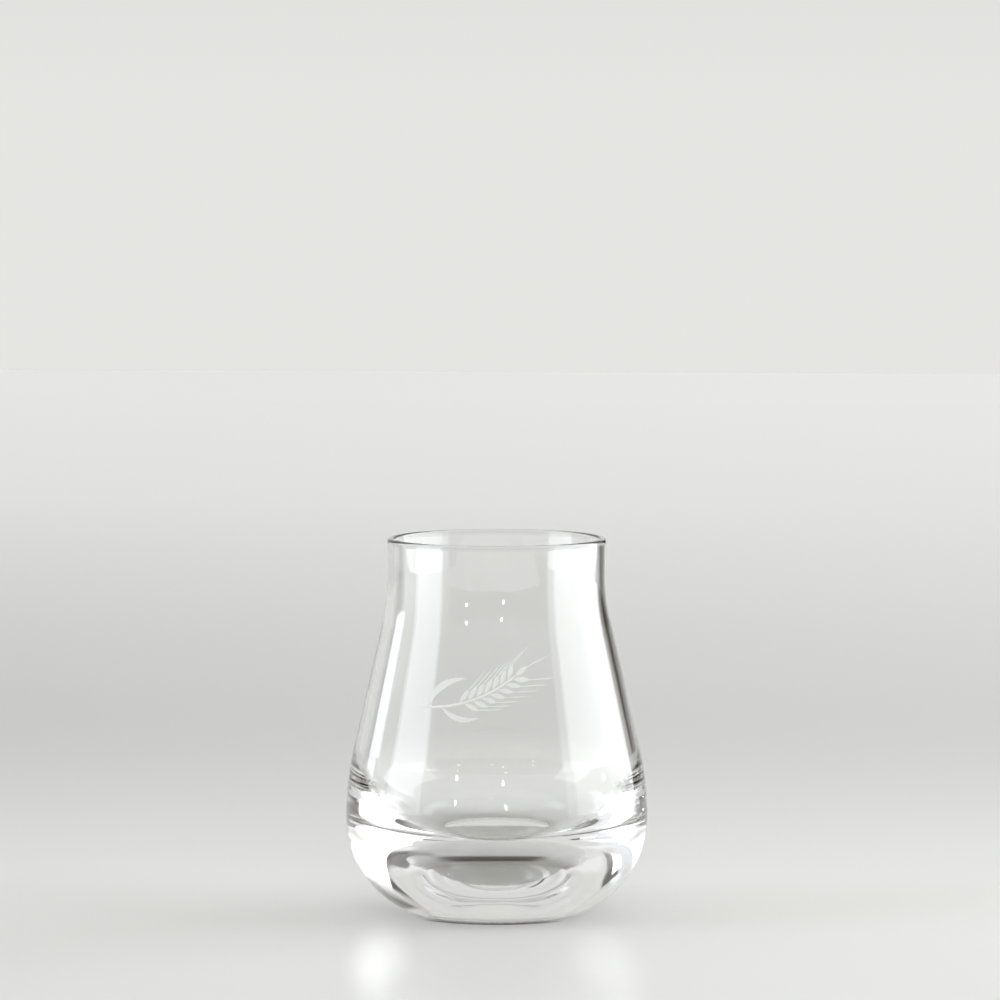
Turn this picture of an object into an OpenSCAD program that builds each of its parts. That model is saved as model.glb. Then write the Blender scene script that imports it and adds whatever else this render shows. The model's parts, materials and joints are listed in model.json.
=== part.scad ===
// Tasting glass: a clear tulip-shaped tumbler with a heavy rounded base and a small frosted
// ear of barley engraved on the front of its bowl. The glass itself is one piece.
// The origin is at the middle of the foot, on the table, with Z up and the barley facing -Y.

/* [Outside] */
// Height from the table to the top of the lip
glass_h = 90; // [82:1:100]
// Outer radius at the widest place of the bowl
belly_r = 36; // [33:0.5:40]
// Height of the widest place above the table
belly_z = 23.2; // [19:0.1:27]
// Outer radius of the straight collar under the lip
collar_r = 26.1; // [23:0.1:29]
// Height of the straight collar, with the lip
collar_h = 9.5; // [4:0.5:16]
// Radius that rounds the edge of the foot
foot_round_r = 7.5; // [5:0.5:10]
// Lean from upright at which the side of the bowl passes into the foot's rounding
foot_turn = 68; // [60:1:74]

/* [Wall and base] */
// Thickness of the wall at the collar and the lip
lip_wall = 1.5; // [1:0.1:2.5]
// How much smaller than the belly the widest place of the inside is
belly_wall = 3.2; // [2:0.1:5]
// Height of the inside floor above the table
floor_z = 11; // [8:0.1:14]
// Slope from level at which the floor's sweep passes into the corner above it
floor_turn = 34; // [26:1:42]

/* [Foot] */
// Width of the flat ring that the glass stands on
ring_w = 1.3; // [0.8:0.1:3]
// Depth of the hollow inside that ring
punt_h = 3; // [1:0.1:5]

/* [Engraving] */
// Depth of the frosted engraving
frost_h = 0.15; // [0.1:0.01:0.3]
// Height of the middle of the engraving above the table
barley_z = 58; // [54:0.5:61]
// Radius of the sweep of the barley's stem
stem_sweep_r = 34; // [30:0.5:40]
// Width of the stem
stem_w = 0.5; // [0.3:0.05:0.8]
// Length of a grain
grain_l = 3.6; // [2.6:0.1:4.2]
// Width of a grain
grain_w = 1.1; // [0.8:0.05:1.2]
// Clear glass left between a grain and the stem
grain_gap = 0.15; // [0.1:0.01:0.3]
// Length of the beard on a grain
beard_l = 5.6; // [3:0.5:8]
// Width of a beard where it leaves its grain
beard_w = 0.2; // [0.12:0.01:0.3]
// Length of the longer leaf
leaf_l = 11.5; // [8:0.5:14]
// Width of the longer leaf
leaf_w = 1.6; // [1:0.1:2.2]
// Number of grains on each side of the ear
grain_n = 7; // [4:1:8]

/* [Hidden] */

// Steps in each arc of the section, and facets round the glass and on an outline's arcs
arc_n = 14;
round_n = 240;
outline_n = 180;
// How far a cut runs past what it cuts
overrun = 1;

// Radii of the shoulder and the neck, as shares of the largest pair that still meet
shoulder_share = 0.43;
neck_share = 0.3;
// Radii of the floor's sweep and of the corner above it, as shares of the inner belly
sweep_share = 0.976;
corner_share = 0.671;

// Outside of the section, from the foot up
low_side_r = (belly_z - foot_round_r * (1 - sin(foot_turn))) / sin(foot_turn);
foot_r = belly_r - low_side_r * (1 - cos(foot_turn)) - foot_round_r * cos(foot_turn);
punt_r = foot_r - ring_w;
punt_sphere_r = (pow(punt_r, 2) + pow(punt_h, 2)) / (2 * punt_h);
neck_z = glass_h - collar_h;
waist = belly_r - collar_r;
largest_pair = (pow(waist, 2) + pow(neck_z - belly_z, 2)) / (2 * waist);
shoulder_r = shoulder_share * largest_pair;
neck_r = neck_share * largest_pair;
low_side_mid = [belly_r - low_side_r, belly_z];
shoulder_mid = [belly_r - shoulder_r, belly_z];
neck_mid = [collar_r + neck_r, neck_z];
flank = touching_lean(shoulder_mid, shoulder_r, neck_mid, neck_r);

// Inside of the section, from the floor up
belly_in_r = belly_r - belly_wall;
sweep_r = sweep_share * belly_in_r;
corner_r = corner_share * belly_in_r;
floor_r = belly_in_r - sweep_r * sin(floor_turn) - corner_r * (1 - sin(floor_turn));
belly_in_z = floor_z + sweep_r * (1 - cos(floor_turn)) + corner_r * cos(floor_turn);
corner_mid = [belly_in_r - corner_r, belly_in_z];
neck_in_r = neck_r + lip_wall;
flank_in = touching_lean(corner_mid, corner_r, neck_mid, neck_in_r);

// Ends of the straight flank, where the barley is engraved
flank_low = shoulder_mid + shoulder_r * unit(flank);
flank_high = neck_mid - neck_r * unit(flank);

// The stem's arc runs between two angles about its middle, and the ear takes its last part
stem_from = -91;
stem_to = -46;
stem_mid = [-0.432 * stem_sweep_r, 0.832 * stem_sweep_r];
ear_span_shares = [0.33, 0.88];
grain_spread = 40;
beard_spread = 24;
leaf_on_stem_shares = [0.04, 0.17];
leaf_spreads = [36, -22];
leaf_size_shares = [1, 0.8];
leaf_bow_share = 0.09;

function unit(angle) = [cos(angle), sin(angle)];

// Points of an arc about a middle, from one angle to another
function arc_points(mid, r, from, to) =
    [for (i = [0:arc_n]) mid + r * unit(from + (to - from) * i / arc_n)];

// Lean from upright of the line that touches a low arc, bulging out, and a high one, curving in
function touching_lean(low_mid, low_r, high_mid, high_r) =
    atan2(high_mid[1] - low_mid[1], high_mid[0] - low_mid[0])
    - acos((low_r + high_r) / norm(high_mid - low_mid));

// Radius of the arc that rises this far over this chord
function bow_r(chord, rise) = (pow(chord, 2) / 4 + pow(rise, 2)) / (2 * rise);

function part_way(from, to, share) = from + (to - from) * share;

// Half section of the glass, from the middle of the hollow under it, out and up over the lip,
// and down the inside to the middle of the floor
section = concat(
    arc_points([0, punt_h - punt_sphere_r], punt_sphere_r, 90, acos(punt_r / punt_sphere_r)),
    arc_points([foot_r, foot_round_r], foot_round_r, -90, -foot_turn),
    arc_points(low_side_mid, low_side_r, -foot_turn, 0),
    arc_points(shoulder_mid, shoulder_r, 0, flank),
    arc_points(neck_mid, neck_r, 180 + flank, 180),
    arc_points([collar_r - lip_wall / 2, glass_h - lip_wall / 2], lip_wall / 2, 0, 180),
    arc_points(neck_mid, neck_in_r, 180, 180 + flank_in),
    arc_points(corner_mid, corner_r, flank_in, floor_turn - 90),
    arc_points([floor_r, floor_z + sweep_r], sweep_r, floor_turn - 90, -90),
    [[0, floor_z]]);

// A grain, pointed at both ends, that lies along X from the origin
module grain() {
    side_r = bow_r(grain_l, grain_w / 2);
    intersection() {
        translate([grain_l / 2, side_r - grain_w / 2])
            circle(side_r, $fn = outline_n);
        translate([grain_l / 2, grain_w / 2 - side_r])
            circle(side_r, $fn = outline_n);
    }
}

// A bristle that thins to half its width, along X from the origin
module beard() {
    polygon([[0, -beard_w / 2], [beard_l, -beard_w / 4], [beard_l, beard_w / 4], [0, beard_w / 2]]);
}

// A long leaf between two arcs that rise to the same side of its chord, along X from the origin
module leaf(l, w) {
    low = leaf_bow_share * l;
    high = low + w;
    difference() {
        translate([l / 2, high - bow_r(l, high)])
            circle(bow_r(l, high), $fn = outline_n);
        translate([l / 2, low - bow_r(l, low)])
            circle(bow_r(l, low), $fn = outline_n);
    }
}

// The stem is a ring between two lines from its middle
module stem() {
    far = 2 * stem_sweep_r;
    tip = part_way(stem_from, stem_to, ear_span_shares[1]);
    translate(stem_mid)
        intersection() {
            difference() {
                circle(stem_sweep_r + stem_w / 2, $fn = round_n);
                circle(stem_sweep_r - stem_w / 2, $fn = round_n);
            }
            polygon([[0, 0], far * unit(stem_from), far * unit(tip)]);
        }
}

// A grain on one side of the stem, or past its tip, and its beard. A side's beards are parallel.
module bearded_grain(along, side) {
    on_stem = part_way(stem_from, stem_to, along);
    lean = on_stem + 90 + side * grain_spread;
    start = side == 0 ? grain_gap : (stem_w / 2 + grain_gap) / sin(grain_spread);
    ear_mid = part_way(stem_from, stem_to, (ear_span_shares[0] + ear_span_shares[1]) / 2);
    translate(stem_mid + stem_sweep_r * unit(on_stem) + start * unit(lean)) {
        rotate(lean)
            grain();
        translate((grain_l - beard_w) * unit(lean))
            rotate(ear_mid + 90 + side * beard_spread)
                beard();
    }
}

// The grains of one side stand half a step further along than those of the other
module ear() {
    for (i = [0:grain_n - 1], side = [0, 1]) {
        step = (i + side / 2) / grain_n;
        bearded_grain(part_way(ear_span_shares[0], ear_span_shares[1], step), 1 - 2 * side);
    }
    bearded_grain(ear_span_shares[1], 0);
}

// Two leaves that bow away from each other
module leaves() {
    for (i = [0, 1]) {
        on_stem = part_way(stem_from, stem_to, leaf_on_stem_shares[i]);
        translate(stem_mid + stem_sweep_r * unit(on_stem))
            rotate(on_stem + 90 + leaf_spreads[i])
                mirror([0, i])
                    leaf(leaf_size_shares[i] * leaf_l, leaf_size_shares[i] * leaf_w);
    }
}

module barley_outline() {
    stem();
    leaves();
    ear();
}

// The solid under the straight flank, drawn in from the surface by a depth
module flank_core(depth) {
    inset = depth / cos(flank);
    translate([0, 0, flank_low[1]])
        cylinder(
            h = flank_high[1] - flank_low[1],
            r1 = flank_low[0] - inset,
            r2 = flank_high[0] - inset,
            $fn = round_n);
}

// The barley run through the front of the flank, as deep as the engraving goes
module barley_cut() {
    intersection() {
        translate([0, 0, barley_z])
            rotate([90, 0, 0])
                linear_extrude(belly_r + overrun)
                    barley_outline();
        difference() {
            translate([0, 0, flank_low[1]])
                cylinder(h = flank_high[1] - flank_low[1], r = belly_r + overrun, $fn = round_n);
            flank_core(frost_h);
        }
    }
}

module glass_body() {
    color([0.86, 0.89, 0.88, 0.35])
        difference() {
            rotate_extrude($fn = round_n)
                polygon(section);
            barley_cut();
        }
}

module engraved_barley() {
    color([0.9, 0.9, 0.88])
        intersection() {
            barley_cut();
            flank_core(0);
        }
}

glass_body();
engraved_barley();
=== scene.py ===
# Tasting glass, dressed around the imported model: clear lathed glass, a frosted ear of barley
# on the front, and a pale table in a soft daylight studio with a window on each side.
import json
import math
import bpy
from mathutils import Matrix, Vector

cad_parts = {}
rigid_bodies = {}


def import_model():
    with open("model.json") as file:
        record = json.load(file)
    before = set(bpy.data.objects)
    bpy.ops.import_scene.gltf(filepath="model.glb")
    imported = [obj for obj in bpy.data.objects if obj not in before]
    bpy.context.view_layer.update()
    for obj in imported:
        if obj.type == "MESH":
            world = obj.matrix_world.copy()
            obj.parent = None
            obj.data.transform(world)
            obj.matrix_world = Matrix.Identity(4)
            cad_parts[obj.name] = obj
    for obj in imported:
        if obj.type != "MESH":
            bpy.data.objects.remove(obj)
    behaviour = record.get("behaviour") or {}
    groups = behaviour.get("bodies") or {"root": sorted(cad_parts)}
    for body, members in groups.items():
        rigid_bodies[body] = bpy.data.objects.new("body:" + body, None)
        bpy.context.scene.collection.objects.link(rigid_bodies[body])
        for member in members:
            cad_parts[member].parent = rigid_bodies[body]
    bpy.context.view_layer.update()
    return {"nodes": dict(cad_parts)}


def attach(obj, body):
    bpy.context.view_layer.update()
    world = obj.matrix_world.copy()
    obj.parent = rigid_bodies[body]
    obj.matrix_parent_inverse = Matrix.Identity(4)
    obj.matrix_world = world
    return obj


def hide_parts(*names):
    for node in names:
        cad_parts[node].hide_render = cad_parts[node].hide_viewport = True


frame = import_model()
scene = bpy.context.scene
print("frame loaded:", sorted(frame["nodes"]))

mm = 0.001


def newMaterial(name):
    material = bpy.data.materials.new(name)
    material.use_nodes = True
    material.node_tree.nodes.clear()
    return material


def addNode(tree, kind, settings=None, inputs=None, links=None):
    # one node with its settings, its plain values and what feeds it
    node = tree.nodes.new(kind)
    for key, value in (settings or {}).items():
        setattr(node, key, value)
    for key, value in (inputs or {}).items():
        node.inputs[key].default_value = value
    for key, source in (links or {}).items():
        tree.links.new(source, node.inputs[key])
    return node


def calc(tree, operation, *values):
    # a sum on plain numbers and on what other nodes give
    node = addNode(tree, "ShaderNodeMath", {"operation": operation})
    for i, value in enumerate(values):
        if isinstance(value, (int, float)):
            node.inputs[i].default_value = value
        else:
            tree.links.new(value, node.inputs[i])
    return node.outputs[0]


def spread(tree, value, start, stop, low=0.0, high=1.0, smooth=False):
    # a value brought from one range to another, and held at its ends
    node = addNode(tree, "ShaderNodeMapRange",
                   {"interpolation_type": "SMOOTHSTEP" if smooth else "LINEAR"},
                   {"From Min": start, "From Max": stop, "To Min": low, "To Max": high},
                   {"Value": value})
    return node.outputs["Result"]


def over(tree, under, colour, mask):
    # a colour laid over another where the mask is 1
    node = addNode(tree, "ShaderNodeMix", {"data_type": "RGBA"})
    tree.links.new(mask, node.inputs[0])
    for i, value in ((6, under), (7, colour)):
        if isinstance(value, tuple):
            node.inputs[i].default_value = (*value, 1)
        else:
            tree.links.new(value, node.inputs[i])
    return node.outputs[2]


def scaled(tree, colour, factor):
    node = addNode(tree, "ShaderNodeVectorMath", {"operation": "SCALE"},
                   links={0: colour, "Scale": factor})
    return node.outputs[0]


def fillRamp(ramp, stops):
    # colour stops, each with its position from 0 to 1
    while len(ramp.elements) < len(stops):
        ramp.elements.new(0.5)
    for element, (position, colour) in zip(ramp.elements, stops):
        element.position = position
        element.color = (*colour, 1)


def giveMaterial(piece, material):
    piece.data.materials.clear()
    piece.data.materials.append(material)


def joinPieces(pieces):
    # all of them joined into the first
    bpy.ops.object.select_all(action="DESELECT")
    for piece in pieces:
        piece.select_set(True)
    bpy.context.view_layer.objects.active = pieces[0]
    bpy.ops.object.join()
    return pieces[0]


# camera, at the photograph's height and tilt

cameraPlace = {
    "distance": 1.6,       # from the axis of the glass, in metres
    "height": 0.2194,      # above the table
    "pitch": 4.3055,       # degrees downwards
    "azimuth": 4.6,        # degrees to the right of the barley's middle
    "lens": 242.55,
    "sensorWidth": 36.0,
    "shiftX": 0.0032,
    "clipEnd": 50.0,
}


def placeCamera():
    c = cameraPlace
    turn = math.radians(c["azimuth"])
    where = (c["distance"] * math.sin(turn), -c["distance"] * math.cos(turn), c["height"])
    tilt = (math.radians(90 - c["pitch"]), 0, turn)
    bpy.ops.object.camera_add(location=where, rotation=tilt)
    camera = bpy.context.object
    camera.name = "photo_camera"
    camera.data.lens = c["lens"]
    camera.data.sensor_width = c["sensorWidth"]
    camera.data.shift_x = c["shiftX"]
    camera.data.clip_end = c["clipEnd"]
    scene.camera = camera


placeCamera()
print("camera placed")

# clear glass body, a section spun round the axis, in millimetres and degrees

glassBody = {
    "height": 90.0,
    "bellyRadius": 36.0,
    "bellyHeight": 23.2,
    "collarRadius": 26.1,
    "collarHeight": 9.5,
    "footRound": 7.5,
    "footTurn": 68.0,
    "lipWall": 1.5,
    "bellyWall": 3.2,
    "floorHeight": 11.0,
    "floorTurn": 34.0,
    "ringWidth": 1.3,
    "hollowDepth": 3.0,
    # how large the outside's shoulder and neck are, of the largest pair that fits
    "shoulderShare": 0.43,
    "neckShare": 0.3,
    # how large the arcs of the cavity's floor and corner are, of its belly radius
    "sweepShare": 0.976,
    "cornerShare": 0.671,
    # a flat this wide beside the hollow keeps the smooth shading from spreading past it
    "ringEdge": 0.15,
    "arcSteps": {"hollow": 24, "foot": 10, "lowSide": 40, "shoulder": 16, "neck": 16,
                 "lip": 20, "corner": 44, "floor": 28},
    "spinSteps": 300,
    "longestFace": 0.9,
    "samePoint": 1e-4,
    "index": 1.51,
    "rippleScale": 45.0,
    "rippleDetail": 2.0,
    "rippleStrength": 0.02,
    "rippleDepth": 0.0002,
    "tints": [(0.0, (0.985, 0.988, 0.985)), (1.0, (0.998, 0.998, 0.995))],
}


def arcPoints(mid, radius, start, stop, steps):
    # points of an arc about a middle, in degrees, both ends included
    points = []
    for i in range(steps + 1):
        angle = math.radians(start + (stop - start) * i / steps)
        points.append((mid[0] + radius * math.cos(angle), mid[1] + radius * math.sin(angle)))
    return points


def touchingLean(lowMid, lowRadius, highMid, highRadius):
    # lean of the line that touches a low arc, bulging out, and a high one, curving in
    across = highMid[0] - lowMid[0]
    up = highMid[1] - lowMid[1]
    between = math.degrees(math.acos((lowRadius + highRadius) / math.hypot(across, up)))
    return math.degrees(math.atan2(up, across)) - between


def withoutGaps(parts, longest, samePoint):
    # the parts of a section in one line, with more points on straight stretches
    points = []
    for r, z in [point for part in parts for point in part]:
        if points:
            r0, z0 = points[-1]
            gap = math.hypot(r - r0, z - z0)
            if gap < samePoint:
                continue
            pieces = math.ceil(gap / longest)
            for i in range(1, pieces):
                points.append((r0 + (r - r0) * i / pieces, z0 + (z - z0) * i / pieces))
        points.append((max(r, 0.0), z))
    return points


def sectionOf(s):
    # half section, from under the foot, up the outside and down the inside
    steps = s["arcSteps"]
    turn = math.radians(s["footTurn"])
    lowSide = (s["bellyHeight"] - s["footRound"] * (1 - math.sin(turn))) / math.sin(turn)
    footRadius = (s["bellyRadius"] - lowSide * (1 - math.cos(turn))
                  - s["footRound"] * math.cos(turn))
    hollowRadius = footRadius - s["ringWidth"]
    hollowSphere = (hollowRadius ** 2 + s["hollowDepth"] ** 2) / (2 * s["hollowDepth"])
    neckHeight = s["height"] - s["collarHeight"]
    waist = s["bellyRadius"] - s["collarRadius"]
    largestPair = (waist ** 2 + (neckHeight - s["bellyHeight"]) ** 2) / (2 * waist)
    shoulder = s["shoulderShare"] * largestPair
    neck = s["neckShare"] * largestPair
    shoulderMid = (s["bellyRadius"] - shoulder, s["bellyHeight"])
    neckMid = (s["collarRadius"] + neck, neckHeight)
    flank = touchingLean(shoulderMid, shoulder, neckMid, neck)
    bellyInside = s["bellyRadius"] - s["bellyWall"]
    sweep = s["sweepShare"] * bellyInside
    corner = s["cornerShare"] * bellyInside
    floorTurn = math.radians(s["floorTurn"])
    floorRadius = bellyInside - sweep * math.sin(floorTurn) - corner * (1 - math.sin(floorTurn))
    insideHeight = (s["floorHeight"] + sweep * (1 - math.cos(floorTurn))
                    + corner * math.cos(floorTurn))
    cornerMid = (bellyInside - corner, insideHeight)
    neckInside = neck + s["lipWall"]
    flankInside = touchingLean(cornerMid, corner, neckMid, neckInside)
    lipRound = s["lipWall"] / 2
    lipMid = (s["collarRadius"] - lipRound, s["height"] - lipRound)
    edge = math.acos(hollowRadius / hollowSphere)
    nearEdge = math.degrees(edge + s["ringEdge"] / hollowSphere)
    parts = [
        arcPoints((0, s["hollowDepth"] - hollowSphere), hollowSphere, 90, nearEdge,
                  steps["hollow"]),
        [(hollowRadius, 0.0), (hollowRadius + s["ringEdge"], 0.0)],
        arcPoints((footRadius, s["footRound"]), s["footRound"], -90, -s["footTurn"],
                  steps["foot"]),
        arcPoints((s["bellyRadius"] - lowSide, s["bellyHeight"]), lowSide, -s["footTurn"], 0,
                  steps["lowSide"]),
        arcPoints(shoulderMid, shoulder, 0, flank, steps["shoulder"]),
        arcPoints(neckMid, neck, 180 + flank, 180, steps["neck"]),
        arcPoints(lipMid, lipRound, 0, 180, steps["lip"]),
        arcPoints(neckMid, neckInside, 180, 180 + flankInside, steps["neck"]),
        arcPoints(cornerMid, corner, flankInside, s["floorTurn"] - 90, steps["corner"]),
        arcPoints((floorRadius, s["floorHeight"] + sweep), sweep, s["floorTurn"] - 90, -90,
                  steps["floor"]),
        [(0.0, s["floorHeight"])],
    ]
    points = withoutGaps(parts, s["longestFace"], s["samePoint"])
    return points, {"flank": flank, "shoulderMid": shoulderMid, "shoulder": shoulder}


def spinSection(name, points, steps):
    # one point drawn out along the section, then spun and closed
    bpy.ops.object.select_all(action="DESELECT")
    bpy.ops.mesh.primitive_circle_add(vertices=3, radius=mm, location=(0, 0, 0))
    piece = bpy.context.object
    piece.name = name
    piece.data.name = name
    bpy.ops.object.mode_set(mode="EDIT")
    bpy.ops.mesh.select_all(action="SELECT")
    bpy.ops.mesh.merge(type="CENTER")
    r, z = points[0]
    bpy.ops.transform.translate(value=(r * mm, 0, z * mm))
    for (r0, z0), (r1, z1) in zip(points, points[1:]):
        step = ((r1 - r0) * mm, 0, (z1 - z0) * mm)
        bpy.ops.mesh.extrude_region_move(TRANSFORM_OT_translate={"value": step})
    bpy.ops.mesh.select_all(action="SELECT")
    bpy.ops.mesh.spin(steps=steps, angle=2 * math.pi, center=(0, 0, 0), axis=(0, 0, 1))
    bpy.ops.mesh.select_all(action="SELECT")
    bpy.ops.mesh.remove_doubles(threshold=1e-7)
    bpy.ops.mesh.normals_make_consistent(inside=False)
    bpy.ops.object.mode_set(mode="OBJECT")
    bpy.ops.object.shade_smooth()
    return piece


def glassMaterial():
    # clear, with a very faint ripple that the light picks up
    g = glassBody
    material = newMaterial("clear_glass")
    tree = material.node_tree
    where = addNode(tree, "ShaderNodeTexCoord")
    ripple = addNode(tree, "ShaderNodeTexNoise",
                     inputs={"Scale": g["rippleScale"], "Detail": g["rippleDetail"]},
                     links={"Vector": where.outputs["Object"]})
    bump = addNode(tree, "ShaderNodeBump",
                   inputs={"Strength": g["rippleStrength"], "Distance": g["rippleDepth"]},
                   links={"Height": ripple.outputs["Fac"]})
    tint = addNode(tree, "ShaderNodeValToRGB", links={"Fac": ripple.outputs["Fac"]})
    fillRamp(tint.color_ramp, g["tints"])
    shader = addNode(tree, "ShaderNodeBsdfPrincipled",
                     inputs={"Roughness": 0.0, "IOR": g["index"], "Transmission Weight": 1.0},
                     links={"Base Color": tint.outputs["Color"], "Normal": bump.outputs["Normal"]})
    addNode(tree, "ShaderNodeOutputMaterial", links={"Surface": shader.outputs["BSDF"]})
    return material


def makeGlassBody():
    points, shape = sectionOf(glassBody)
    piece = spinSection("clear_glass_body", points, glassBody["spinSteps"])
    giveMaterial(piece, glassMaterial())
    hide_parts("glass_body")
    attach(piece, "root")
    print("glass body:", len(points), "points in the section,", len(piece.data.polygons), "faces")
    return shape


bodyShape = makeGlassBody()

# frosted ear of barley, engraved in the straight flank, in millimetres and degrees

barley = {
    "middle": 58.0,        # height of its middle above the table
    "stemSweep": 34.0,     # radius of the arc that the stem follows
    "stemMid": (-0.432, 0.832),  # middle of that arc, in stem sweeps
    "stemWidth": 0.5,
    "stemFrom": -91.0,
    "stemTo": -46.0,
    "stemSteps": 60,
    "earSpan": (0.33, 0.88),
    "grains": 7,           # in each of the two rows
    "grainLength": 3.6,
    "grainWidth": 1.1,
    "grainSpread": 40.0,
    "grainGap": 0.15,
    "grainEnd": 0.06,      # width at the tips, as a share
    "grainSteps": 12,
    "beardLength": 5.6,
    "beardWidth": 0.2,
    "beardSpread": 24.0,
    "beardEnd": 0.5,
    "beardSteps": 14,
    "leafLength": 11.5,
    "leafWidth": 1.6,
    "leafPlaces": (0.04, 0.17),
    "leafSpreads": (36.0, -22.0),
    "leafSizes": (1.0, 0.8),
    "leafBow": 0.09,
    "leafEnd": 0.05,
    "leafSteps": 24,
    "fullness": 0.8,       # below 1, a blade keeps its width nearer to its tips
    "slivers": [(-0.5, -0.27), (-0.24, -0.015), (0.015, 0.24), (0.27, 0.5)],
    "lift": 0.005,
    "thickness": 0.03,
    "gritScale": 4000.0,
    "gritDetail": 3.0,
    "gritStrength": 0.4,
    "gritDepth": 0.00002,
    "tones": [(0.0, (0.9, 0.9, 0.88)), (1.0, (1.0, 1.0, 0.98))],
    "roughness": 0.6,
    "index": 1.5,
    "seeThrough": 0.1,
}


def unit(angle):
    return Vector((math.cos(math.radians(angle)), math.sin(math.radians(angle))))


def stemAngle(share):
    return barley["stemFrom"] + (barley["stemTo"] - barley["stemFrom"]) * share


def stemPoint(angle, out=0.0):
    # a point on the middle of the stem, or beside it
    sweep = barley["stemSweep"]
    x, z = barley["stemMid"]
    return Vector((x * sweep, z * sweep)) + (sweep + out) * unit(angle)


def blade(name, length, width, bow, along, across, endShare, span=(-0.5, 0.5)):
    # a flat tapering sliver in X and Z, from the origin along X, over a span of the full width
    bpy.ops.object.select_all(action="DESELECT")
    bpy.ops.mesh.primitive_grid_add(x_subdivisions=along, y_subdivisions=across, size=1,
                                    location=(0, 0, 0), rotation=(0, 0, 0))
    piece = bpy.context.object
    piece.name = name
    for v in piece.data.vertices:
        t = v.co.x + 0.5
        fullness = endShare + (1 - endShare) * math.sin(math.pi * t) ** barley["fullness"]
        rise = 4 * bow * t * (1 - t)
        share = span[0] + (span[1] - span[0]) * (v.co.y + 0.5)
        v.co = (t * length * mm, 0, (share * width * fullness + rise) * mm)
    return piece


def veined(name, length, width, bow, along, endShare):
    # a blade cut lengthwise into slivers, with clear lines left between them
    return joinPieces([blade(name, length, width, bow, along, 1, endShare, span)
                       for span in barley["slivers"]])


def placeCopy(source, origin, angle, mirrored=False):
    # a copy with its own mesh, turned in the XZ plane and moved to its place
    c = math.cos(math.radians(angle))
    s = math.sin(math.radians(angle))
    piece = source.copy()
    piece.data = source.data.copy()
    bpy.context.collection.objects.link(piece)
    for v in piece.data.vertices:
        x, z = v.co.x, -v.co.z if mirrored else v.co.z
        v.co = (origin[0] * mm + c * x - s * z, 0, origin[1] * mm + s * x + c * z)
    return piece


def makeEar():
    # grains in turn on the left and right and one at the tip, each with its beard
    b = barley
    grain = veined("grain", b["grainLength"], b["grainWidth"], 0.0, b["grainSteps"],
                   b["grainEnd"])
    beard = blade("beard", b["beardLength"], b["beardWidth"], 0.0, b["beardSteps"], 1,
                  b["beardEnd"])
    beardLean = stemAngle(sum(b["earSpan"]) / 2) + 90
    fromShare, toShare = b["earSpan"]
    inRows = 2 * b["grains"]
    flats = []
    for i in range(inRows + 1):
        side = 0 if i == inRows else 1 - 2 * (i % 2)
        onStem = stemAngle(fromShare + (toShare - fromShare) * i / inRows)
        lean = onStem + 90 + side * b["grainSpread"]
        start = b["grainGap"]
        if side:
            start = (b["stemWidth"] / 2 + start) / math.sin(math.radians(b["grainSpread"]))
        foot = stemPoint(onStem) + start * unit(lean)
        flats.append(placeCopy(grain, foot, lean))
        tip = foot + (b["grainLength"] - b["beardWidth"]) * unit(lean)
        flats.append(placeCopy(beard, tip, beardLean + side * b["beardSpread"]))
    bpy.data.objects.remove(grain)
    bpy.data.objects.remove(beard)
    return flats


def makeLeaves():
    # one to each side near the foot of the stem, bowed away from it
    b = barley
    flats = []
    for i, size in enumerate(b["leafSizes"]):
        bow = b["leafBow"] * size * b["leafLength"] + size * b["leafWidth"] / 2
        leaf = veined("leaf", size * b["leafLength"], size * b["leafWidth"], bow,
                      b["leafSteps"], b["leafEnd"])
        onStem = stemAngle(b["leafPlaces"][i])
        lean = onStem + 90 + b["leafSpreads"][i]
        flats.append(placeCopy(leaf, stemPoint(onStem), lean, i == 1))
        bpy.data.objects.remove(leaf)
    return flats


def makeStem():
    bpy.ops.object.select_all(action="DESELECT")
    bpy.ops.mesh.primitive_grid_add(x_subdivisions=barley["stemSteps"], y_subdivisions=1, size=1)
    stem = bpy.context.object
    for v in stem.data.vertices:
        angle = stemAngle((v.co.x + 0.5) * barley["earSpan"][1])
        p = stemPoint(angle, v.co.y * barley["stemWidth"])
        v.co = (p.x * mm, 0, p.y * mm)
    return stem


def thicken(piece, thickness):
    bpy.ops.object.mode_set(mode="EDIT")
    bpy.ops.mesh.select_all(action="SELECT")
    bpy.ops.mesh.extrude_region_move(TRANSFORM_OT_translate={"value": (0, -thickness, 0)})
    bpy.ops.mesh.select_all(action="SELECT")
    bpy.ops.mesh.normals_make_consistent(inside=False)
    bpy.ops.object.mode_set(mode="OBJECT")


def wrapRoundFlank(piece):
    # the flank is a cone between the shoulder and the neck
    lean = math.radians(bodyShape["flank"])
    lowRadius = bodyShape["shoulderMid"][0] + bodyShape["shoulder"] * math.cos(lean)
    lowHeight = bodyShape["shoulderMid"][1] + bodyShape["shoulder"] * math.sin(lean)
    for v in piece.data.vertices:
        x = v.co.x / mm
        z = v.co.z / mm + barley["middle"]
        radius = lowRadius - (z - lowHeight) * math.tan(lean)
        away = (barley["lift"] - v.co.y / mm) / math.cos(lean)
        v.co = (x * mm, -math.sqrt((radius + away) ** 2 - x * x) * mm, z * mm)


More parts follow.
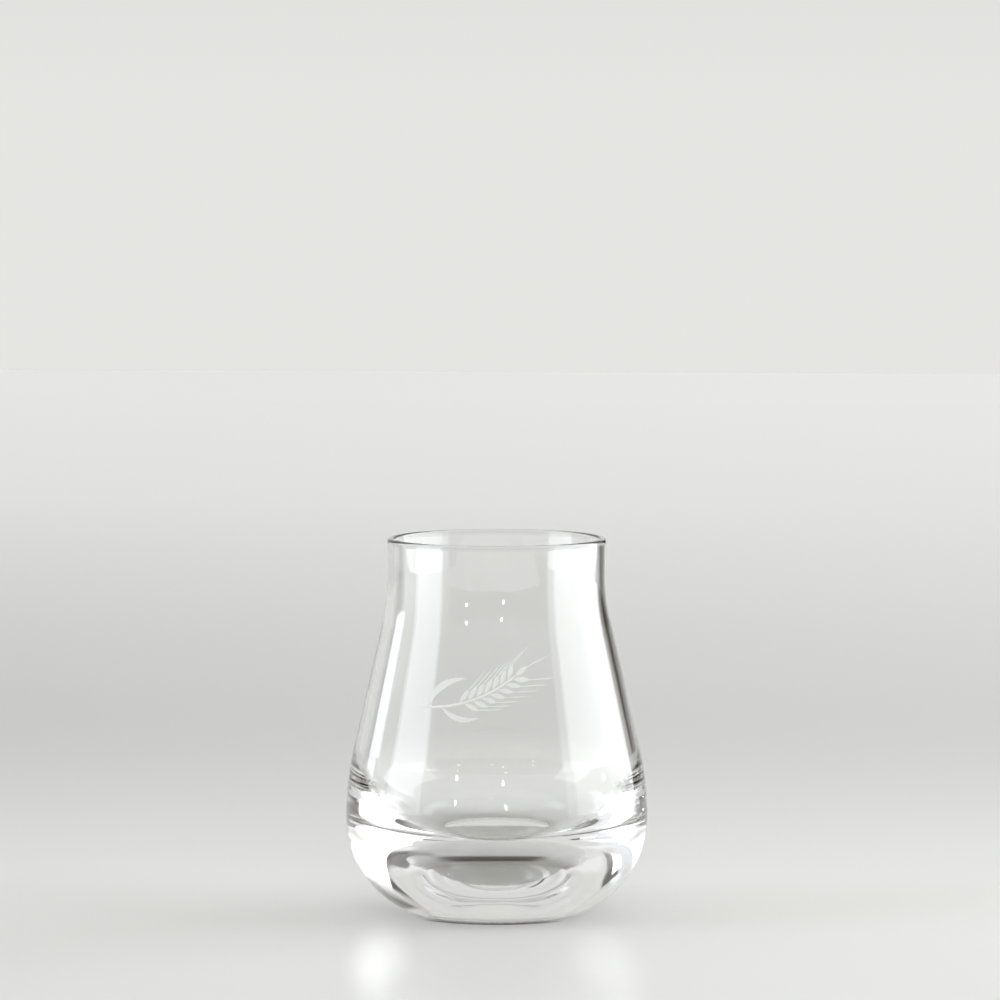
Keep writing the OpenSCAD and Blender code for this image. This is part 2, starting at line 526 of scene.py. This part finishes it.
def frostMaterial():
    # a ground white with fine grit
    b = barley
    material = newMaterial("frosted_glass")
    tree = material.node_tree
    where = addNode(tree, "ShaderNodeTexCoord")
    grit = addNode(tree, "ShaderNodeTexNoise",
                   inputs={"Scale": b["gritScale"], "Detail": b["gritDetail"]},
                   links={"Vector": where.outputs["Object"]})
    tone = addNode(tree, "ShaderNodeValToRGB", links={"Fac": grit.outputs["Fac"]})
    fillRamp(tone.color_ramp, b["tones"])
    bump = addNode(tree, "ShaderNodeBump",
                   inputs={"Strength": b["gritStrength"], "Distance": b["gritDepth"]},
                   links={"Height": grit.outputs["Fac"]})
    shader = addNode(tree, "ShaderNodeBsdfPrincipled",
                     inputs={"Roughness": b["roughness"], "IOR": b["index"],
                             "Transmission Weight": b["seeThrough"]},
                     links={"Base Color": tone.outputs["Color"], "Normal": bump.outputs["Normal"]})
    addNode(tree, "ShaderNodeOutputMaterial", links={"Surface": shader.outputs["BSDF"]})
    return material


def makeBarley():
    flats = makeEar() + makeLeaves()
    piece = joinPieces([makeStem()] + flats)
    piece.name = "frosted_barley"
    piece.data.name = "frosted_barley"
    piece.location = (0, 0, 0)
    thicken(piece, barley["thickness"] * mm)
    wrapRoundFlank(piece)
    giveMaterial(piece, frostMaterial())
    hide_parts("engraved_barley")
    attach(piece, "root")
    print("barley:", len(piece.data.polygons), "faces")


makeBarley()

# pale table, a little glossy, in metres; its colour holds a painted soft shade behind the glass, a
# painted shadow round the foot and painted light in front of it

table = {
    "halfWidth": 0.75,
    "front": -1.9,
    "back": 2.3,
    "drop": 0.0001,        # below the foot
    "rampFrom": -0.3,
    "rampTo": 2.1,
    # painted shade: depth behind the glass, and the level of the colour there, darkest in a soft
    # band behind the glass
    "levels": [(-0.2, 0.78), (-0.06, 0.83), (0.03, 0.86), (0.1, 0.81), (0.25, 0.68), (0.4, 0.6),
               (0.55, 0.63), (0.85, 0.71), (1.3, 0.85), (2.0, 0.92)],
    "warmth": 0.97,        # blue, as a share of the level
    "sideLimit": 0.3,
    # painted light: depth behind the glass, and how much lighter the colour gets to the right, in
    # each metre
    "sideSlopeNear": (0.35, 0.54),
    "sideSlopeFar": (1.3, 0.1),
    # painted shade: the table's far right end, out of view, is painted dark, so the glass mirrors a
    # dark line at its right side; how far to the right and behind that starts, over what lengths it
    # fades in, and what is left of the colour there
    "paintedDarkEnd": (0.27, 0.6),
    "paintedDarkEndFade": (0.03, 0.1),
    "paintedDarkEndLevel": 0.06,
    "paintedContactReach": 0.06,
    # painted contact shadow round the foot, darkest under its ring where it meets the table: radius
    # from the axis, and what is left of the colour there
    "paintedContact": [(0.0, (1.0, 1.0, 0.99)), (0.0135, (0.97, 0.96, 0.94)),
                (0.0162, (0.88, 0.84, 0.8)), (0.0167, (0.72, 0.66, 0.62)),
                (0.0172, (0.85, 0.79, 0.75)), (0.0186, (0.95, 0.94, 0.93)),
                (0.024, (0.96, 0.96, 0.95)), (0.035, (0.99, 0.99, 0.99)),
                (0.06, (1.0, 1.0, 1.0))],
    # the painted shadow line under the front of the foot, where it meets the table: its colour, the
    # middle and half width of its ring, the share of that width with a sharp edge, and how far in
    # front of the axis it fades in
    "line": (0.03, 0.016, 0.012),
    "lineRing": (0.0198, 0.0017),
    "lineSharp": 0.7,
    "lineFront": (0.012, 0.0165),
    # painted light: glowing patches on the table that stand in for the light and the bright
    # reflections that the base throws there; middle, half lengths and strength of each patch, and
    # the degrees by which they are turned
    "paintedGlows": [((-0.0207, -0.077), (0.0095, 0.07), 0.22), ((0.0295, -0.073), (0.0095, 0.07), 0.1)],
    "paintedGlowTurn": 4.6,
    "roughness": 0.32,
    "index": 1.45,
}


def paintedTableShade(tree, axes):
    # the colour with its painted shade by depth, its painted light to the right and the painted
    # dark at the far right end, without the glass
    t = table
    start, stop = t["rampFrom"], t["rampTo"]
    shade = addNode(tree, "ShaderNodeValToRGB",
                    links={"Fac": spread(tree, axes.outputs["Y"], start, stop)})
    shade.color_ramp.interpolation = "B_SPLINE"
    fillRamp(shade.color_ramp, [((depth - start) / (stop - start),
                                 (level, level, level * t["warmth"]))
                                for depth, level in t["levels"]])
    near, nearSlope = t["sideSlopeNear"]
    far, farSlope = t["sideSlopeFar"]
    slope = spread(tree, axes.outputs["Y"], near, far, nearSlope, farSlope)
    aside = addNode(tree, "ShaderNodeClamp", inputs={"Min": -t["sideLimit"], "Max": t["sideLimit"]},
                    links={"Value": axes.outputs["X"]})
    side = calc(tree, "MULTIPLY_ADD", aside.outputs["Result"], slope, 1.0)
    # painted shade over the table's far right end
    toRight, behind = t["paintedDarkEnd"]
    fadeRight, fadeBehind = t["paintedDarkEndFade"]
    end = calc(tree, "MULTIPLY",
               spread(tree, axes.outputs["X"], toRight, toRight + fadeRight),
               spread(tree, axes.outputs["Y"], behind, behind + fadeBehind))
    left = spread(tree, end, 0.0, 1.0, 1.0, t["paintedDarkEndLevel"])
    return scaled(tree, scaled(tree, shade.outputs["Color"], side), left)


def paintedContactShade(tree, colour, radius, axes):
    # the painted soft shadow round the foot, and the painted dark line under its front
    t = table
    paintedContact = addNode(tree, "ShaderNodeValToRGB",
                      links={"Fac": spread(tree, radius, 0.0, t["paintedContactReach"])})
    fillRamp(paintedContact.color_ramp, [(reach / t["paintedContactReach"], left)
                                  for reach, left in t["paintedContact"]])
    shaded = addNode(tree, "ShaderNodeVectorMath", {"operation": "MULTIPLY"},
                     links={0: colour, 1: paintedContact.outputs["Color"]})
    # painted shadow line under the front of the foot
    ring, halfWidth = t["lineRing"]
    offRing = calc(tree, "ABSOLUTE", calc(tree, "SUBTRACT", radius, ring))
    onPaintedLine = spread(tree, offRing, t["lineSharp"] * halfWidth, halfWidth, 1.0, 0.0)
    fadeIn, full = t["lineFront"]
    inFront = spread(tree, axes.outputs["Y"], -fadeIn, -full)
    return over(tree, shaded.outputs[0], t["line"], calc(tree, "MULTIPLY", onPaintedLine, inFront))


def paintedThrownLight(tree, where):
    # painted light: long soft glowing patches on the table in front of the glass
    light = 0.0
    for middle, reach, strength in table["paintedGlows"]:
        patch = addNode(tree, "ShaderNodeMapping", {"vector_type": "TEXTURE"},
                        {"Location": (*middle, 0), "Scale": (*reach, 1),
                         "Rotation": (0, 0, math.radians(table["paintedGlowTurn"]))},
                        {"Vector": where.outputs["Object"]})
        away = addNode(tree, "ShaderNodeVectorMath", {"operation": "LENGTH"},
                       links={0: patch.outputs["Vector"]})
        paintedGlow = spread(tree, away.outputs["Value"], 0.0, 1.0, strength, 0.0, smooth=True)
        light = calc(tree, "ADD", paintedGlow, light)
    return light


def tableMaterial():
    material = newMaterial("pale_table")
    tree = material.node_tree
    where = addNode(tree, "ShaderNodeTexCoord")
    axes = addNode(tree, "ShaderNodeSeparateXYZ", links={"Vector": where.outputs["Object"]})
    radius = addNode(tree, "ShaderNodeVectorMath", {"operation": "LENGTH"},
                     links={0: where.outputs["Object"]})
    colour = paintedContactShade(tree, paintedTableShade(tree, axes), radius.outputs["Value"], axes)
    # the emission carries the painted light of the glowing patches
    shader = addNode(tree, "ShaderNodeBsdfPrincipled",
                     inputs={"Roughness": table["roughness"], "IOR": table["index"],
                             "Emission Strength": 1.0},
                     links={"Base Color": colour, "Emission Color": paintedThrownLight(tree, where)})
    addNode(tree, "ShaderNodeOutputMaterial", links={"Surface": shader.outputs["BSDF"]})
    return material


def makeTable():
    bpy.ops.object.select_all(action="DESELECT")
    bpy.ops.mesh.primitive_plane_add(size=1, location=(0, 0, 0))
    piece = bpy.context.object
    piece.name = "table_top"
    middle = (table["front"] + table["back"]) / 2
    length = table["back"] - table["front"]
    for v in piece.data.vertices:
        v.co = (v.co.x * 2 * table["halfWidth"], v.co.y * length + middle, -table["drop"])
    giveMaterial(piece, tableMaterial())
    print("table ready")


makeTable()

# studio round the glass, by direction: azimuths in degrees from the room's front to the right,
# and heights in degrees above level

studio = {
    "turn": 4.6,           # degrees by which the whole room is turned
    "plain": (0.72, 0.72, 0.70),
    "backdrop": (0.785, 0.785, 0.765),
    "ceiling": (0.68, 0.68, 0.67),
    "frontHigh": (0.52, 0.51, 0.49),
    "dark": (0.07, 0.055, 0.045),
    "leftBeyond": (0.85, 0.87, 0.9),
    "leftFar": (4.2, 4.5, 4.9),
    "leftWindow": (3.1, 3.2, 3.4),
    "rightCurtain": (1.5, 1.55, 1.6),
    "rightWindow": (3.5, 3.6, 3.7),
    "white": (1.0, 1.0, 1.0),
    # left, right, low and high edge, and how soft the sides and the ends are
    "areas": {
        "frontHigh": (-58, 62, -60, 50, 6, 8),
        "front": (-52, 55, -60, 12, 4, 7),
        "leftWindow": (-94, -61, -14, 36, 0.7, 2),
        "leftBeyond": (-118, -94, -14, 36, 1.5, 2),
        "leftFar": (-125, -114, 3, 9, 0.8, 1),
        "leftDark": (-133, -118, -6, 8, 1.5, 2),
        "rightCurtain": (56, 64, -14, 36, 0.7, 2),
        "rightWindow": (64, 132, -14, 36, 1.5, 2),
        "rightDark": (132, 162, -6, 8, 1.5, 2),
        "rightDarkThrough": (132, 145, -6, 5, 1.5, 2),
    },
    # height and softness of the ceiling's edge and of the backdrop's, and how much darker
    # the backdrop is above its edge
    "ceilingEdge": (50, 8),
    "backdropEdge": (-0.4, 0.7),
    "backdropHigh": 0.965,
    # azimuth, height and strength of each small lamp
    "lamps": [(-32.0, 13.0, 22.0), (5.0, 12.0, 22.0), (-32.0, 4.0, 14.0), (7.0, 3.0, 14.0)],
    "lampSize": 1.1,
    "lampWarmth": 0.95,
}


def makeStudio():
    world = bpy.data.worlds.new("studio")
    scene.world = world
    world.use_nodes = True
    tree = world.node_tree
    tree.nodes.clear()
    where = addNode(tree, "ShaderNodeTexCoord")
    turned = addNode(tree, "ShaderNodeMapping",
                     inputs={"Rotation": (0, 0, -math.radians(studio["turn"]))},
                     links={"Vector": where.outputs["Generated"]})
    axes = addNode(tree, "ShaderNodeSeparateXYZ", links={"Vector": turned.outputs["Vector"]})
    x, y, z = axes.outputs
    inDegrees = 180 / math.pi
    azimuth = calc(tree, "MULTIPLY",
                   calc(tree, "ARCTAN2", x, calc(tree, "MULTIPLY", y, -1.0)), inDegrees)
    height = calc(tree, "MULTIPLY", calc(tree, "ARCSINE", z), inDegrees)

    def edge(value, at, soft, falling=False):
        return spread(tree, value, at - soft, at + soft, float(falling), float(not falling),
                      smooth=True)

    def area(name):
        left, right, low, high, softSide, softEnd = studio["areas"][name]
        across = calc(tree, "MULTIPLY", edge(azimuth, left, softSide),
                      edge(azimuth, right, softSide, True))
        up = calc(tree, "MULTIPLY", edge(height, low, softEnd), edge(height, high, softEnd, True))
        return calc(tree, "MULTIPLY", across, up)

    def roundLamp(side, up):
        # 1 in the directions within the lamp's size of its own
        a, h = math.radians(side), math.radians(up)
        toward = (math.sin(a) * math.cos(h), -math.cos(a) * math.cos(h), math.sin(h))
        dot = addNode(tree, "ShaderNodeVectorMath", {"operation": "DOT_PRODUCT"},
                      {1: toward}, {0: turned.outputs["Vector"]})
        return calc(tree, "GREATER_THAN", dot.outputs["Value"],
                    math.cos(math.radians(studio["lampSize"])))

    leftWindow = area("leftWindow")
    rightWindow = area("rightWindow")
    leftDark = area("leftDark")
    path = addNode(tree, "ShaderNodeLightPath")

    # what a mirrored or scattered ray meets
    light = over(tree, studio["plain"], studio["ceiling"], edge(height, *studio["ceilingEdge"]))
    for colour, mask in (
            ("frontHigh", area("frontHigh")), ("dark", area("front")),
            ("leftBeyond", area("leftBeyond")),
            ("dark", calc(tree, "MAXIMUM", area("rightDark"), leftDark)),
            ("leftWindow", leftWindow), ("leftFar", area("leftFar")),
            ("rightCurtain", area("rightCurtain")), ("rightWindow", rightWindow)):
        light = over(tree, light, studio[colour], mask)
    notDiffuse = calc(tree, "SUBTRACT", 1.0, path.outputs["Is Diffuse Ray"])
    for side, up, strength in studio["lamps"]:
        light = over(tree, light, (strength, strength, studio["lampWarmth"] * strength),
                     calc(tree, "MULTIPLY", roundLamp(side, up), notDiffuse))

    # what is seen straight through the glass
    through = over(tree, studio["backdrop"], studio["dark"],
                   calc(tree, "MAXIMUM", area("rightDarkThrough"), leftDark))
    through = over(tree, through, studio["white"],
                   calc(tree, "MAXIMUM", leftWindow, rightWindow))

    # what is seen past the glass
    high = tuple(studio["backdropHigh"] * c for c in studio["backdrop"])
    past = over(tree, studio["backdrop"], high, edge(height, *studio["backdropEdge"]))

    mirrored = calc(tree, "GREATER_THAN", calc(tree, "SUBTRACT", path.outputs["Ray Depth"],
                                               path.outputs["Transmission Depth"]), 0.5)
    seen = over(tree, through, light, mirrored)
    seen = over(tree, seen, past, path.outputs["Is Camera Ray"])
    background = addNode(tree, "ShaderNodeBackground", links={"Color": seen})
    addNode(tree, "ShaderNodeOutputWorld", links={"Surface": background.outputs["Background"]})


makeStudio()

# soft fill from the front, which only the frosted barley and the table show

frontFill = {
    "place": (0.3, -1.9, 0.8),
    "tilt": 67.0,
    "turn": 9.0,
    "size": 0.8,
    "power": 6.0,
}


def addFill():
    f = frontFill
    bpy.ops.object.light_add(type="AREA", location=f["place"],
                             rotation=(math.radians(f["tilt"]), 0, math.radians(f["turn"])))
    lamp = bpy.context.object
    lamp.name = "front_fill"
    lamp.data.shape = "SQUARE"
    lamp.data.size = f["size"]
    lamp.data.energy = f["power"]
    lamp.visible_camera = False
    lamp.visible_glossy = False
    lamp.visible_transmission = False


addFill()

bounces = {"max_bounces": 48, "transmission_bounces": 48, "glossy_bounces": 32}
for kind, most in bounces.items():
    setattr(scene.cycles, kind, most)
scene.view_settings.view_transform = "Standard"
print("studio ready")
